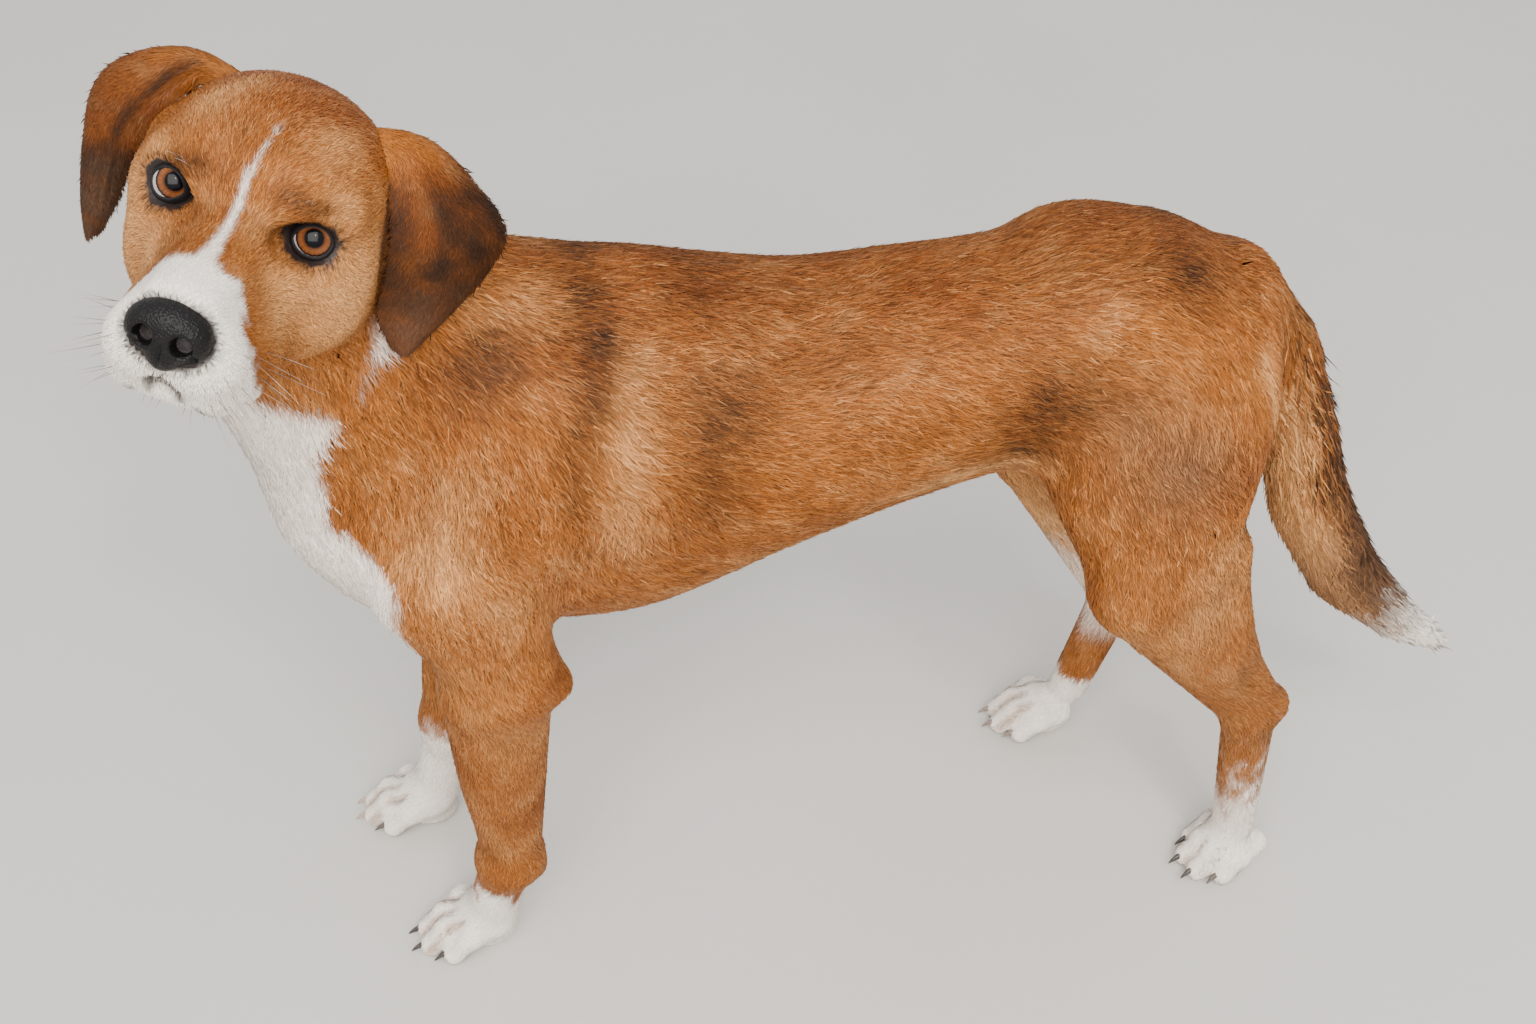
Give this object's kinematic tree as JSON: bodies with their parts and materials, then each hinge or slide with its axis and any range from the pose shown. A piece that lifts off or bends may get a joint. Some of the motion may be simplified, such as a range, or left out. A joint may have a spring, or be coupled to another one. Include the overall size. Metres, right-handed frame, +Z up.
{
  "type": "dog",
  "caption": "Medium-sized tan dog with drop ears, white face blaze, chest and paws, standing still and looking round to its left, at life size.",
  "frame": {"origin": "on the floor, below the middle of the dog's own box", "axes": "+X to the dog's left, +Y to its tail (its trunk faces -Y), +Z up"},
  "size_m": [0.2866, 0.8862, 0.709],
  "materials": {
    "tan_coat": "short, flat tan fur",
    "white_coat": "short white fur",
    "brown_coat": "fine dark brown fur",
    "nose_leather": "black, moist and pebbled",
    "claw_horn": "dark grey horn",
    "eye": "wet, amber-brown iris round a dark pupil"
  },
  "bodies": {
    "root": {"head": "tan_coat", "neck": "tan_coat", "trunk": "tan_coat", "tail_root": "tan_coat", "tail_tip": "tan_coat", "nose": "nose_leather", "left_eye": "eye", "left_ear": "brown_coat", "left_foreleg": "tan_coat", "left_forepaw": "white_coat", "left_thigh": "tan_coat", "left_hind_pastern": "tan_coat", "left_hind_paw": "white_coat", "left_foreclaw_1": "claw_horn", "left_foreclaw_2": "claw_horn", "left_foreclaw_3": "claw_horn", "left_foreclaw_4": "claw_horn", "left_hind_claw_1": "claw_horn", "left_hind_claw_2": "claw_horn", "left_hind_claw_3": "claw_horn", "left_hind_claw_4": "claw_horn", "right_eye": "eye", "right_ear": "brown_coat", "right_foreleg": "tan_coat", "right_forepaw": "white_coat", "right_thigh": "tan_coat", "right_hind_pastern": "tan_coat", "right_hind_paw": "white_coat", "right_foreclaw_1": "claw_horn", "right_foreclaw_2": "claw_horn", "right_foreclaw_3": "claw_horn", "right_foreclaw_4": "claw_horn", "right_hind_claw_1": "claw_horn", "right_hind_claw_2": "claw_horn", "right_hind_claw_3": "claw_horn", "right_hind_claw_4": "claw_horn"}
  },
  "joints": []
}
